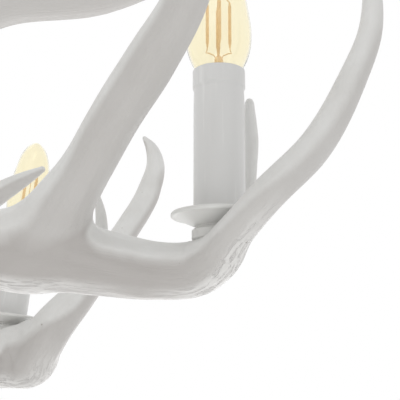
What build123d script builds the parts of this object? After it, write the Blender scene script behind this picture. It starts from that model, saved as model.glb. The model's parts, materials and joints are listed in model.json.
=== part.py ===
"""Antler chandelier: six cast antler arms with candle lights round a hub, hung on a chain.

Millimetres, +Z up. The origin is where the middle of the bracket meets the ceiling, and the
chandelier hangs below it. Every arm is drawn in its own frame, x outward from the stem, and
turned into place. Two castings alternate round the hub: a slender upper one and a heavy lower one.
"""
from build123d import *
import math
import os

# ---- clearances ----
THREAD_GAP = 0.05       # radial, between a thread and its hole, both drawn plain
SLIP_GAP = 0.4          # radial, between pieces that slide past each other
LINK_GAP = 0.3          # between the wires of two interlocked rings
REVEAL = 0.3            # between seated pieces of different bodies

# ---- ceiling fitting ----
BRACKET_LENGTH = 104
BRACKET_WIDTH = 22
BRACKET_THICKNESS = 3
SLOT_SPACING = 70
SLOT_RADIUS = 2.5
SLOT_LENGTH = 14
NIPPLE_RADIUS = 5
NIPPLE_BORE_RADIUS = 3.4
LOCKNUT_ACROSS_FLATS = 17
LOCKNUT_HEIGHT = 5
CANOPY_RADIUS = 64
CANOPY_DEPTH = 30
CANOPY_WALL = 1.4
CANOPY_LIP = 3
CANOPY_SHADOW_GAP = 1
COLLAR_RADIUS = 14.5
COLLAR_HEIGHT = 16
COLLAR_ABOVE_CANOPY = 6
CANOPY_RING_RADIUS = 21
CANOPY_RING_HEIGHT = 7
CANOPY_RING_EDGE = 2.8

# ---- chain ----
LOOP_RADIUS = 11.5      # to the middle of the wire
LOOP_WIRE_RADIUS = 2.5
LINK_COUNT = 5
LINK_WIRE_RADIUS = 2
LINK_SPAN = 32          # between the wire's middles at the two ends
LINK_WIDTH = 16         # between the wire's middles at the two sides

# ---- stem and hub ----
CANDLE_DROP = 420       # from the ceiling to the drip pans of the upper tier
STEM_RADIUS = 6.5
STEM_BORE_RADIUS = 5
LOOP_COLLAR_RADIUS = 9.5
LOOP_COLLAR_HEIGHT = 16
LOOP_COLLAR_EDGE = 3.8
HUB_ACROSS_FLATS = 76
HUB_WALL = 8
HUB_ROOF = 6
HUB_EDGE_RADIUS = 3
HUB_ABOVE_UPPER_BUTT = 30
HUB_BELOW_LOWER_BUTT = 32
HUB_SKIRT = 3           # how far the finial's flange stands out of the hub
FINIAL_FLANGE = 5
FINIAL_CUP_RADIUS = 27
FINIAL_CUP_DEPTH = 13
FINIAL_NECK_RADIUS = 8
FINIAL_NECK_LENGTH = 4
FINIAL_KNOB_RADIUS = 14
BOLT_RADIUS = 3
BOLT_GRIP = 26          # length of the bolt inside the antler
BOLT_HEAD_RADIUS = 5.5
BOLT_HEAD_HEIGHT = 4

# ---- tiers of arms ----
ARMS_PER_TIER = 3
TIER_DROP = 35          # lower drip pans below the upper ones
UPPER_BUTT_DROP = 2     # middle of the butt below the tier's drip pans
LOWER_BUTT_DROP = 19

# ---- candle light, measured from the rim of its drip pan ----
UPPER_CANDLE_PLACE = (303, 0)
LOWER_CANDLE_PLACE = (313, 8)
LOWER_CANDLE_LEAN = 6
LOWER_LEAN_BEARING = -50
PAN_RADIUS = 26.5
PAN_RIM_RADIUS = 1.3
PAN_DEPTH = 4.2
PAN_WALL = 1.6
PAN_FLAT_RADIUS = 15
PAN_NECK_RADIUS = 12.5
PAN_NECK_HEIGHT = 4
SEAT_NUT_RADIUS = 14.8
SEAT_NUT_HEIGHT = 6.4
PAD_RADIUS = 13.2
PAD_DEPTH = 16
PAD_FOOT_RADIUS = 7      # of the pad deep inside the casting
CUP_NIPPLE_INTO_PAD = 14
CUP_NIPPLE_INTO_HOLDER = 14
SLEEVE_RADIUS = 13.9
SLEEVE_WALL = 0.8
SLEEVE_TOP = 80
SLEEVE_COLLAR_HEIGHT = 8
SLEEVE_COLLAR_STEP = 0.5
HOLDER_FOOT_RADIUS = 10
HOLDER_FOOT_HEIGHT = 4
HOLDER_POST_RADIUS = 7
HOLDER_RADIUS = 11.6
HOLDER_BOTTOM = 38
HOLDER_TOP = 66
HOLDER_FLOOR = 4

# ---- bulb ----
CAP_RADIUS = 6.95
CAP_LENGTH = 22
CONTACT_RADIUS = 3
CONTACT_HEIGHT = 2
GLASS_WALL = 0.8
STEM_GLASS_RADIUS = 3.4
STEM_GLASS_LENGTH = 18
STEM_GLASS_TAPER = 2
FILAMENT_COUNT = 4
FILAMENT_RING_RADIUS = 6.3
FILAMENT_RADIUS = 0.9
FILAMENT_RISE = 28      # of the filaments' feet above the glass's bottom
FILAMENT_LENGTH = 37
LEAD_RADIUS = 0.4
LEAD_INTO_FILAMENT = 1

GLASS_TIP_HEIGHT = 87
# Outside of the glass as (radius, height above its bottom), and of its shoulder as
# (radius, drop below its tip).
GLASS_BODY = [(7.2, 0), (8.6, 5), (12.2, 13.5), (15.4, 19.5), (17.6, 26.5), (18.4, 35.5)]
GLASS_SHOULDER = [(17, 39), (14.4, 24), (11.4, 12)]

# ---- antlers ----
BUTT_RADIUS = 22
BURR_RADIUS = 24.5
BURR_OFFSET = 7         # of the burr's middle from the hub
SHAFT_OFFSET = 16       # of the end of the burr from the hub
SHAFT_RADIUS = 19.5
TIP_SWELL = 1.03        # of a rounded tip over the last station of its tine

# Stations along each beam or tine, as (x, y, z, radius). x points away from the stem, y runs
# anticlockwise seen from above, and both start at the arm's candle. z starts at its drip pan's rim.
UPPER_BEAM = [
    (-183, 0, -10, 19.5),
    (-113, 1, -19.5, 18.9),
    (-63, 3, -26, 17.3),
    (-33, 4, -29.8, 15.5),
    (-13, 1, -29.2, 14.7),
    (-3.5, -9, -24.9, 12.9),
    (5.6, -28.2, -13.9, 9.4),
    (20.1, -40.2, 2.2, 8.8),
    (42.5, -40.5, 25.4, 8.6),
    (64.5, -37, 63, 7.4),
    (76, -35, 92, 6.2),
    (78, -34, 116, 4.8),
    (74, -35, 142, 2.6),
]
UPPER_TINES = [
    # the long tine that leans across in front of the candle
    [(-101, 0, -21, 17), (-88.5, -7, -6, 16.5), (-68, -25, 19.6, 13), (-56.4, -38, 37.5, 12.6),
     (-38, -57, 61.8, 12.7), (-22, -78, 84, 10.6), (-13, -98, 112, 8.4), (-12, -112, 138, 5.8),
     (-17, -120, 160, 2.6)],
    # the finger behind the candle
    [(-11, 8, -27, 7), (9, 26, -16, 5.6), (20, 28, 0, 4.2), (19.5, 22.4, 20.9, 2.9),
     (19.7, 19.2, 35.3, 3.3), (19.8, 16.8, 46.3, 3.6), (19, 14.5, 57.3, 3.1),
     (18.4, 12.5, 66.7, 2.6)],
    # the small spur on the back of the beam
    [(-62, 9, -24, 5), (-63, 20, -10, 3.9), (-64, 21, 4, 3), (-66.5, 21, 15, 1.6)],
]
LOWER_BEAM = [
    (-193, -8, -26, 19.5),
    (-113, -6, -34, 19),
    (-58, -3, -39, 18.5),
    (-26, -3, -41, 18.4),
    (-8, -11, -41, 18.3),
    (-3, -27.5, -36, 18),
    (-9.8, -41, -24, 18.2),
    (-12, -55, -9, 16.3),
    (1.6, -66.6, 12.6, 13.9),
    (41.7, -86.2, 71, 10.8),
    (69.3, -93.9, 114, 10.2),
    (75.7, -96.2, 140, 8),
    (75.1, -91.3, 156, 5),
    (72.8, -86, 164, 2.1),
]
LOWER_TINES = [
    # the tine that hooks over on the clockwise side
    [(-130, -7, -32, 14), (-125, -13, -7, 12.5), (-114, -25, 33, 10.4), (-102, -43, 65, 8.8),
     (-93, -62, 81.5, 7.8), (-89, -80, 90.5, 5.4), (-86, -94, 97, 2.4)],
    # the long tine that sweeps out on the anticlockwise side
    [(-108, -4, -33, 15), (-99, 14, -9, 12.5), (-77, 41, 27, 10.5), (-51, 65, 49.4, 9.4),
     (-29, 85, 59, 8.9), (-12.6, 108.3, 62.2, 8.6), (-1, 127, 73.1, 7.8), (8, 144, 95, 6.4),
     (13, 157, 122, 4.6), (15, 165, 148, 2.4)],
]
LOWER_KNUCKLES = [(-4, -24, -37.2, 21.3)]     # the thick knob of the bend under the candle

# ---- heights that follow from the sizes above ----
CANOPY_BOTTOM = -CANOPY_SHADOW_GAP - CANOPY_DEPTH
COLLAR_TOP = CANOPY_BOTTOM + COLLAR_ABOVE_CANOPY
COLLAR_BOTTOM = COLLAR_TOP - COLLAR_HEIGHT
NIPPLE_BOTTOM = COLLAR_BOTTOM + COLLAR_HEIGHT / 2
CEILING_LOOP_MIDDLE = COLLAR_BOTTOM - LOOP_RADIUS
WIRE_STEP_AT_LOOP = LOOP_WIRE_RADIUS + LINK_WIRE_RADIUS + LINK_GAP
LINK_PITCH = LINK_SPAN - 2 * LINK_WIRE_RADIUS - LINK_GAP
FIRST_LINK_TOP = CEILING_LOOP_MIDDLE - LOOP_RADIUS + WIRE_STEP_AT_LOOP
LAST_LINK_BOTTOM = FIRST_LINK_TOP - (LINK_COUNT - 1) * LINK_PITCH - LINK_SPAN
STEM_LOOP_MIDDLE = LAST_LINK_BOTTOM + WIRE_STEP_AT_LOOP - LOOP_RADIUS
STEM_COLLAR_TOP = STEM_LOOP_MIDDLE - LOOP_RADIUS
STEM_COLLAR_BOTTOM = STEM_COLLAR_TOP - LOOP_COLLAR_HEIGHT
STEM_TOP = STEM_COLLAR_TOP - LOOP_COLLAR_HEIGHT / 3
UPPER_LEVEL = -CANDLE_DROP
LOWER_LEVEL = UPPER_LEVEL - TIER_DROP
HUB_FACE = HUB_ACROSS_FLATS / 2
HUB_TOP = UPPER_LEVEL - UPPER_BUTT_DROP + HUB_ABOVE_UPPER_BUTT
HUB_BOTTOM = LOWER_LEVEL - LOWER_BUTT_DROP - HUB_BELOW_LOWER_BUTT
STEM_BOTTOM = HUB_BOTTOM - FINIAL_FLANGE

PAN_FLOOR = -PAN_DEPTH + PAN_WALL
PAN_BOTTOM = -PAN_DEPTH - PAN_NECK_HEIGHT
SEAT = PAN_BOTTOM - SEAT_NUT_HEIGHT
SLEEVE_BORE_RADIUS = SLEEVE_RADIUS - SLEEVE_WALL
CAP_BOTTOM = HOLDER_BOTTOM + HOLDER_FLOOR + CONTACT_HEIGHT + REVEAL
GLASS_BOTTOM = CAP_BOTTOM + CAP_LENGTH


def tube(outer, inner, bottom, top):
    """A round tube about Z."""
    height = top - bottom
    wall = Cylinder(outer, height) - Cylinder(inner, height)
    return Pos(0, 0, (bottom + top) / 2) * wall


def rod(radius, bottom, top):
    """A round bar about Z."""
    return Pos(0, 0, (bottom + top) / 2) * Cylinder(radius, top - bottom)


def turned(*outline):
    """A solid of revolution about Z from (radius, height) corners."""
    return revolve(Plane.XZ * make_face(Polyline(*outline, close=True)), Axis.Z)


def ring(middle, facing):
    """A round eye of wire with a vertical plane across the given horizontal axis."""
    turn = Rot(90, 0, 0) if facing == "Y" else Rot(0, 90, 0)
    return Pos(0, 0, middle) * turn * Torus(LOOP_RADIUS, LOOP_WIRE_RADIUS)


def hexagon_bar(across_flats, bottom, top):
    """A six-sided bar about Z with a flat facing +X."""
    outline = RegularPolygon(across_flats / 2, 6, major_radius=False, rotation=30)
    return Pos(0, 0, bottom) * extrude(outline, top - bottom)


# ---- ceiling fitting ----
def ceiling_bracket():
    """Crossbar with two slots for the ceiling screws and a middle hole for the nipple."""
    strap = SlotOverall(BRACKET_LENGTH, BRACKET_WIDTH)
    strap -= Circle(NIPPLE_RADIUS + THREAD_GAP)
    for side in (-1, 1):
        strap -= Pos(side * SLOT_SPACING / 2, 0) * SlotOverall(SLOT_LENGTH, 2 * SLOT_RADIUS)
    return extrude(strap, -BRACKET_THICKNESS)


def bracket_locknut():
    """Nut that locks the nipple under the crossbar."""
    top = -BRACKET_THICKNESS
    nut = hexagon_bar(LOCKNUT_ACROSS_FLATS, top - LOCKNUT_HEIGHT, top)
    return nut - rod(NIPPLE_RADIUS + THREAD_GAP, top - LOCKNUT_HEIGHT, top)


def canopy_nipple():
    """Threaded tube from the crossbar down into the loop's collar."""
    return tube(NIPPLE_RADIUS, NIPPLE_BORE_RADIUS, NIPPLE_BOTTOM, 0)


def canopy_loop():
    """Collar with the eye that carries the chain."""
    collar = rod(COLLAR_RADIUS, COLLAR_BOTTOM, COLLAR_TOP)
    collar = chamfer(collar.edges().group_by(Axis.Z)[0], LINK_WIRE_RADIUS)
    loop = collar + ring(CEILING_LOOP_MIDDLE, "Y")
    return loop - rod(NIPPLE_RADIUS + THREAD_GAP, NIPPLE_BOTTOM, COLLAR_TOP)


def canopy():
    """Spun ceiling cup, open at the top, with a hole that clears the collar and the chain."""
    hole = COLLAR_RADIUS + SLIP_GAP
    top = -CANOPY_SHADOW_GAP
    brim = top - CANOPY_LIP
    flat = CANOPY_RING_RADIUS + CANOPY_LIP
    floor = CANOPY_BOTTOM + CANOPY_WALL
    inner = CANOPY_RADIUS - CANOPY_WALL
    with BuildPart() as spun:
        with BuildSketch(Plane.XZ):
            with BuildLine():
                Spline((CANOPY_RADIUS, brim), (flat, CANOPY_BOTTOM), tangents=((0, -1), (-1, 0)))
                Polyline((flat, CANOPY_BOTTOM), (hole, CANOPY_BOTTOM), (hole, floor),
                         (flat, floor))
                Spline((flat, floor), (inner, brim), tangents=((1, 0), (0, 1)))
                Polyline((inner, brim), (inner, top), (CANOPY_RADIUS, top),
                         (CANOPY_RADIUS, brim))
            make_face()
        revolve(axis=Axis.Z)
    return spun.part


def canopy_ring():
    """Screw ring on the collar that holds the canopy up."""
    top = CANOPY_BOTTOM
    body = tube(CANOPY_RING_RADIUS, COLLAR_RADIUS + THREAD_GAP, top - CANOPY_RING_HEIGHT, top)
    rim = body.edges().filter_by(GeomType.CIRCLE).sort_by(SortBy.RADIUS)[-2:]
    return fillet(rim.sort_by(Axis.Z)[0], CANOPY_RING_EDGE)


# ---- chain ----
def chain_link(index):
    """One oval link. Links turn a quarter from one to the next, so that they interlock."""
    top = FIRST_LINK_TOP - index * LINK_PITCH
    bend = LINK_WIDTH / 2
    half = LINK_SPAN / 2 - bend
    side = Pos(bend, 0, 0) * Cylinder(LINK_WIRE_RADIUS, 2 * half)
    start = Plane((bend, 0, half), z_dir=(0, 0, 1)) * Circle(LINK_WIRE_RADIUS)
    arch = revolve(start, Axis((0, 0, half), (0, -1, 0)), 180)
    upper = side + arch
    link = upper + Rot(0, 180, 0) * upper
    quarter = 90 if index % 2 == 0 else 0
    return Pos(0, 0, top - LINK_SPAN / 2) * Rot(0, 0, quarter) * link


# ---- stem and hub ----
def stem_loop():
    """Eye on a collar, screwed on the top of the stem."""
    collar = rod(LOOP_COLLAR_RADIUS, STEM_COLLAR_BOTTOM, STEM_COLLAR_TOP)
    collar = fillet(collar.edges().group_by(Axis.Z)[-1], LOOP_COLLAR_EDGE)
    loop = collar + ring(STEM_LOOP_MIDDLE, "Y")
    return loop - rod(STEM_RADIUS + THREAD_GAP, STEM_COLLAR_BOTTOM, STEM_TOP)


def stem_tube():
    """Hollow stem from the eye through the hub into the finial."""
    return tube(STEM_RADIUS, STEM_BORE_RADIUS, STEM_BOTTOM, STEM_TOP)


def hub():
    """Hollow six-sided casting with a roof; each face takes one antler."""
    shell = hexagon_bar(HUB_ACROSS_FLATS, HUB_BOTTOM, HUB_TOP)
    shell = fillet(shell.edges().filter_by(Axis.Z), HUB_EDGE_RADIUS)
    shell = fillet(shell.edges().group_by(Axis.Z)[-1], HUB_EDGE_RADIUS)
    inside = HUB_ACROSS_FLATS - 2 * HUB_WALL
    shell -= rod(inside / 2, HUB_BOTTOM, HUB_TOP - HUB_ROOF)
    shell -= rod(STEM_RADIUS + THREAD_GAP, HUB_BOTTOM, HUB_TOP)
    head_space = Rot(0, 90, 0) * Cylinder(BOLT_HEAD_RADIUS + SLIP_GAP, BOLT_HEAD_HEIGHT)
    for angle, height in butts():
        shell -= Rot(0, 0, angle) * bolt_hole(BOLT_RADIUS + SLIP_GAP, height)
        shell -= Rot(0, 0, angle) * Pos((inside - BOLT_HEAD_HEIGHT) / 2, 0, height) * head_space
    return shell


def finial():
    """Turned end piece: a flange that closes the hub, a cup, a neck and a round knob."""
    flange = HUB_FACE + HUB_SKIRT
    neck_top = STEM_BOTTOM - FINIAL_CUP_DEPTH
    knob = neck_top - FINIAL_NECK_LENGTH - FINIAL_KNOB_RADIUS
    body = turned((0, knob), (0, HUB_BOTTOM), (flange, HUB_BOTTOM), (flange, STEM_BOTTOM),
                  (FINIAL_CUP_RADIUS, STEM_BOTTOM), (FINIAL_NECK_RADIUS, neck_top),
                  (FINIAL_NECK_RADIUS, knob))
    body += Pos(0, 0, knob) * Sphere(FINIAL_KNOB_RADIUS)
    return body - rod(STEM_RADIUS + THREAD_GAP, STEM_BOTTOM, HUB_BOTTOM)


def butts():
    """Angle and height of each antler's butt on the hub, upper tier first."""
    step = 360 / ARMS_PER_TIER
    upper = [(step * n, UPPER_LEVEL - UPPER_BUTT_DROP) for n in range(ARMS_PER_TIER)]
    lower = [(step * (n + 0.5), LOWER_LEVEL - LOWER_BUTT_DROP) for n in range(ARMS_PER_TIER)]
    return upper + lower


def bolt_hole(radius, height):
    """Cutter for a bolt's way from the inside of the hub into the antler on the +X face."""
    start = HUB_FACE - HUB_WALL - BOLT_HEAD_HEIGHT
    length = HUB_WALL + BOLT_HEAD_HEIGHT + BOLT_GRIP + SLIP_GAP
    return Pos(start + length / 2, 0, height) * Rot(0, 90, 0) * Cylinder(radius, length)


def hub_bolts():
    """One bolt to each antler, its head inside the hub."""
    seat = HUB_FACE - HUB_WALL
    shank = HUB_WALL + BOLT_GRIP + BOLT_HEAD_HEIGHT
    bolts = []
    for angle, height in butts():
        head = Pos(seat - BOLT_HEAD_HEIGHT / 2, 0, height) * Rot(0, 90, 0)
        head *= Cylinder(BOLT_HEAD_RADIUS, BOLT_HEAD_HEIGHT)
        body = Pos(seat - BOLT_HEAD_HEIGHT + shank / 2, 0, height) * Rot(0, 90, 0)
        body *= Cylinder(BOLT_RADIUS, shank)
        bolts.append(Rot(0, 0, angle) * (head + body))
    return bolts


# ---- antlers ----
def branch(stations):
    """A tapering beam or tine through round sections, ending in a blunt rounded tip."""
    sections = []
    across = Vector(0, 1, 0)
    for here, (x, y, z, radius) in enumerate(stations):
        behind = Vector(*stations[max(here - 1, 0)][:3])
        ahead = Vector(*stations[min(here + 1, len(stations) - 1)][:3])
        along = (ahead - behind).normalized()
        across = (across - along * across.dot(along)).normalized()
        sections.append(Plane((x, y, z), x_dir=across, z_dir=along) * Circle(radius))
    x, y, z, radius = stations[-1]
    return loft(sections) + Pos(x, y, z) * Sphere(radius * TIP_SWELL)


def butt(height):
    """Stations of the thick end on the hub and of the burr round it."""
    return [(HUB_FACE, 0, height, BUTT_RADIUS), (HUB_FACE + BURR_OFFSET, 0, height, BURR_RADIUS),
            (HUB_FACE + SHAFT_OFFSET, 0, height, SHAFT_RADIUS)]


def antler(beam, tines, knuckles, place, candle, butt_height):
    """One casting: beam, tines, knuckles, the pad under the candle and the drilled holes."""
    beam, *tines = [[(place[0] + x, place[1] + y, z, radius) for x, y, z, radius in stations]
                    for stations in (beam, *tines)]
    body = branch(butt(butt_height) + beam)
    for tine in tines:
        body += branch(tine)
    for x, y, z, radius in knuckles:
        body += Pos(place[0] + x, place[1] + y, z) * Sphere(radius)
    pad = Cone(PAD_FOOT_RADIUS, PAD_RADIUS, PAD_DEPTH)
    body += candle * Pos(0, 0, SEAT - PAD_DEPTH / 2) * pad
    body -= candle * rod(SEAT_NUT_RADIUS + SLIP_GAP, SEAT, 0)
    body -= candle * rod(NIPPLE_RADIUS + THREAD_GAP, SEAT - CUP_NIPPLE_INTO_PAD, SEAT)
    return body - bolt_hole(BOLT_RADIUS + THREAD_GAP, butt_height)


# ---- candle light ----
def drip_pan():
    """Shallow dish with a rolled rim, on a short neck."""
    edge = PAN_RADIUS - PAN_RIM_RADIUS
    hole = NIPPLE_RADIUS + THREAD_GAP
    dish = turned((hole, PAN_BOTTOM), (PAN_NECK_RADIUS, PAN_BOTTOM),
                  (PAN_NECK_RADIUS, -PAN_DEPTH), (PAN_FLAT_RADIUS, -PAN_DEPTH),
                  (edge, -PAN_WALL), (edge, 0), (PAN_FLAT_RADIUS, PAN_FLOOR), (hole, PAN_FLOOR))
    rim = Pos(0, 0, -PAN_WALL / 2) * Torus(edge, PAN_RIM_RADIUS)
    return dish + rim


def seat_nut():
    """Round nut between the pan and the antler."""
    nut = tube(SEAT_NUT_RADIUS, NIPPLE_RADIUS + THREAD_GAP, SEAT, PAN_BOTTOM)
    return chamfer(nut.edges().filter_by(GeomType.CIRCLE).sort_by(SortBy.RADIUS)[-2:], 1)


def cup_nipple():
    """Threaded tube from the antler up into the lamp holder."""
    return tube(NIPPLE_RADIUS, NIPPLE_BORE_RADIUS, SEAT - CUP_NIPPLE_INTO_PAD,
                PAN_FLOOR + CUP_NIPPLE_INTO_HOLDER)


def candle_sleeve():
    """Tube that looks like a candle, with a thicker collar at its mouth."""
    sleeve = tube(SLEEVE_RADIUS, SLEEVE_BORE_RADIUS, PAN_FLOOR, SLEEVE_TOP)
    collar_bottom = SLEEVE_TOP - SLEEVE_COLLAR_HEIGHT
    collar = tube(SLEEVE_RADIUS + SLEEVE_COLLAR_STEP, SLEEVE_BORE_RADIUS, collar_bottom,
                  SLEEVE_TOP)
    return sleeve + collar


def lamp_holder():
    """Screw lamp holder on a post, inside the sleeve."""
    bore = CAP_RADIUS + SLIP_GAP / 2
    nipple = NIPPLE_RADIUS + THREAD_GAP
    nipple_top = PAN_FLOOR + CUP_NIPPLE_INTO_HOLDER
    foot = PAN_FLOOR + HOLDER_FOOT_HEIGHT
    return turned((nipple, PAN_FLOOR), (HOLDER_FOOT_RADIUS, PAN_FLOOR),
                  (HOLDER_FOOT_RADIUS, foot), (HOLDER_POST_RADIUS, foot),
                  (HOLDER_POST_RADIUS, HOLDER_BOTTOM), (HOLDER_RADIUS, HOLDER_BOTTOM),
                  (HOLDER_RADIUS, HOLDER_TOP), (bore, HOLDER_TOP),
                  (bore, HOLDER_BOTTOM + HOLDER_FLOOR), (0, HOLDER_BOTTOM + HOLDER_FLOOR),
                  (0, nipple_top), (nipple, nipple_top))


# ---- bulb ----
def bulb_cap():
    """Screw cap with its centre contact and the hole for the glass stem."""
    body = turned((0, CAP_BOTTOM - CONTACT_HEIGHT), (CONTACT_RADIUS, CAP_BOTTOM - CONTACT_HEIGHT),
                  (CONTACT_RADIUS, CAP_BOTTOM), (CAP_RADIUS, CAP_BOTTOM + CONTACT_HEIGHT),
                  (CAP_RADIUS, GLASS_BOTTOM), (0, GLASS_BOTTOM))
    return body - rod(STEM_GLASS_RADIUS + THREAD_GAP, GLASS_BOTTOM - CONTACT_HEIGHT, GLASS_BOTTOM)


def bulb_glass():
    """Hollow amber glass with a blunt pointed top and a hole below for its stem."""
    tip = GLASS_BOTTOM + GLASS_TIP_HEIGHT
    outside = [(radius, GLASS_BOTTOM + height) for radius, height in GLASS_BODY]
    outside += [(radius, tip - drop) for radius, drop in GLASS_SHOULDER]
    inside = [(radius - GLASS_WALL, height) for radius, height in outside]
    inside[0] = (inside[0][0], GLASS_BOTTOM + GLASS_WALL)
    hole = STEM_GLASS_RADIUS + THREAD_GAP
    with BuildPart() as blown:
        with BuildSketch(Plane.XZ):
            with BuildLine():
                Spline(*outside, (0, tip), tangents=((0.1, 1), (-1, 0)))
                Line((0, tip), (0, tip - GLASS_WALL))
                Spline((0, tip - GLASS_WALL), *reversed(inside), tangents=((1, 0), (-0.1, -1)))
                Polyline(inside[0], (hole, inside[0][1]), (hole, GLASS_BOTTOM), outside[0])
            make_face()
        revolve(axis=Axis.Z)
    return blown.part


def wire_between(start, end, radius, sides):
    """A straight wire of a few sides from one point to another."""
    way = Vector(*end) - Vector(*start)
    return extrude(Plane(start, z_dir=way) * RegularPolygon(radius, sides), way.length)


def bulb_filament():
    """Glass stem, the lead wires and the upright glowing rods."""
    foot = GLASS_BOTTOM + FILAMENT_RISE
    head = foot + FILAMENT_LENGTH
    stem_top = GLASS_BOTTOM + STEM_GLASS_LENGTH
    stem_end = (0, 0, stem_top - LEAD_INTO_FILAMENT)
    crown = (0, 0, head + FILAMENT_RING_RADIUS / 2)
    mount = rod(STEM_GLASS_RADIUS, GLASS_BOTTOM - CONTACT_HEIGHT, stem_top)
    mount = chamfer(mount.edges().group_by(Axis.Z)[-1], STEM_GLASS_TAPER)
    mount += wire_between(stem_end, crown, LEAD_RADIUS, 4)
    for step in range(FILAMENT_COUNT):
        turn = math.radians(360 * step / FILAMENT_COUNT)
        x = FILAMENT_RING_RADIUS * math.cos(turn)
        y = FILAMENT_RING_RADIUS * math.sin(turn)
        mount += wire_between((x, y, foot), (x, y, head), FILAMENT_RADIUS, 6)
        mount += wire_between(stem_end, (x, y, foot + LEAD_INTO_FILAMENT), LEAD_RADIUS, 4)
        mount += wire_between(crown, (x, y, head - LEAD_INTO_FILAMENT), LEAD_RADIUS, 4)
    return mount


# ---- assembly ----
def tier_candle(place, lean=0, bearing=0):
    """Frame of an arm's candle: upright, or leaning towards a bearing."""
    tilt = Rot(0, 0, bearing) * Rot(0, lean, 0) * Rot(0, 0, -bearing)
    return Pos(place[0], place[1], 0) * tilt


def main():
    """Build every piece and write one file for each node."""
    os.makedirs("parts", exist_ok=True)
    parts = {
        "ceiling_bracket": ceiling_bracket(),
        "bracket_locknut": bracket_locknut(),
        "canopy_nipple": canopy_nipple(),
        "canopy_loop": canopy_loop(),
        "canopy": canopy(),
        "canopy_ring": canopy_ring(),
        "stem_loop": stem_loop(),
        "stem_tube": stem_tube(),
        "hub": hub(),
        "hub_bolts": Compound(children=hub_bolts()),
        "finial": finial(),
    }
    for index in range(LINK_COUNT):
        parts[f"chain_link_{index + 1}"] = chain_link(index)

    upper_candle = tier_candle(UPPER_CANDLE_PLACE)
    lower_candle = tier_candle(LOWER_CANDLE_PLACE, LOWER_CANDLE_LEAN, LOWER_LEAN_BEARING)
    castings = {
        "upper": (antler(UPPER_BEAM, UPPER_TINES, [], UPPER_CANDLE_PLACE, upper_candle,
                         -UPPER_BUTT_DROP), upper_candle, UPPER_LEVEL, 0),
        "lower": (antler(LOWER_BEAM, LOWER_TINES, LOWER_KNUCKLES, LOWER_CANDLE_PLACE,
                         lower_candle, -LOWER_BUTT_DROP), lower_candle, LOWER_LEVEL, 0.5),
    }
    pieces = {
        "drip_pan": drip_pan(),
        "candle_sleeve": candle_sleeve(),
        "lamp_holder": lamp_holder(),
        "bulb_cap": bulb_cap(),
        "bulb_glass": bulb_glass(),
        "bulb_filament": bulb_filament(),
    }
    nuts, nipples = [], []
    for tier, (casting, candle, level, offset) in castings.items():
        for number in range(ARMS_PER_TIER):
            arm = Rot(0, 0, 360 / ARMS_PER_TIER * (number + offset)) * Pos(0, 0, level)
            parts[f"{tier}_antler_{number + 1}"] = arm * casting
            for name, piece in pieces.items():
                parts[f"{tier}_{name}_{number + 1}"] = arm * candle * piece
            nuts.append(arm * candle * seat_nut())
            nipples.append(arm * candle * cup_nipple())
    parts["seat_nuts"] = Compound(children=nuts)
    parts["cup_nipples"] = Compound(children=nipples)

    for name, piece in parts.items():
        export_step(piece, f"parts/{name}.step")


main()
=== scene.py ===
"""Looks of the antler chandelier: grooved castings, candles, amber bulbs and enamelled fittings.

Shapes are written in millimetres, and become metres when a mesh is made. Castings are drawn in the
frame of one arm, x outward from the stem and z up from the rim of the arm's drip pan, and the
pieces of a candle light in the frame of their candle, whose foot is the middle of that rim.
"""
import json
import math

import bmesh
import bpy
import numpy as np
import openvdb
from mathutils import Matrix, Vector


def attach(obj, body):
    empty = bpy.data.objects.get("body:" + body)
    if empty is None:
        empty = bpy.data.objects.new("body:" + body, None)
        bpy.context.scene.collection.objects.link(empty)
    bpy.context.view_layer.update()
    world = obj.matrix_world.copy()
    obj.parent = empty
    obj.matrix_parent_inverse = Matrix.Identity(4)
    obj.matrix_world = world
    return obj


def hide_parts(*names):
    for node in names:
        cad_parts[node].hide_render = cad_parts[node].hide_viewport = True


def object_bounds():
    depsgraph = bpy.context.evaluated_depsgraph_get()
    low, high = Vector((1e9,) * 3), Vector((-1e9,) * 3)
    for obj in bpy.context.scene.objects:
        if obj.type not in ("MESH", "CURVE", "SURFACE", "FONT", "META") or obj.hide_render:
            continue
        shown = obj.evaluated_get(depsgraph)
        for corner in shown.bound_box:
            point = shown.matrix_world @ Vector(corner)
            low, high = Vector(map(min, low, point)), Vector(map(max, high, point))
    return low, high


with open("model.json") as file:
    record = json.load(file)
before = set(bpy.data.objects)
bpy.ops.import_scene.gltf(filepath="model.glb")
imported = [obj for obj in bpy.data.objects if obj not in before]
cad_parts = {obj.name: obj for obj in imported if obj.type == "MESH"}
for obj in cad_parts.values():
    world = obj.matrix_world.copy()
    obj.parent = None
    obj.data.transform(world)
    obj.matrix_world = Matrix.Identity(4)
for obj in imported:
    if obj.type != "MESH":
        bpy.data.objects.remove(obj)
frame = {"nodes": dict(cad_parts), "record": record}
cad_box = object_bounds()

MM = 0.001
SEED = 41
WAX_SEED = SEED + 20

# ---- tiers of arms ----
ARMS_PER_TIER = 3
LEVEL = {"upper": -420, "lower": -455}
FIRST_ANGLE = {"upper": 0, "lower": 60}
CANDLE_PLACE = {"upper": (303, 0), "lower": (313, 8)}
CANDLE_LEAN = {"upper": 0, "lower": 6}
LEAN_BEARING = -50
SEAT = -14.6            # top of the pad under the round nut, along the candle's axis
SEAT_NUT_RADIUS = 14.8

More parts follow.
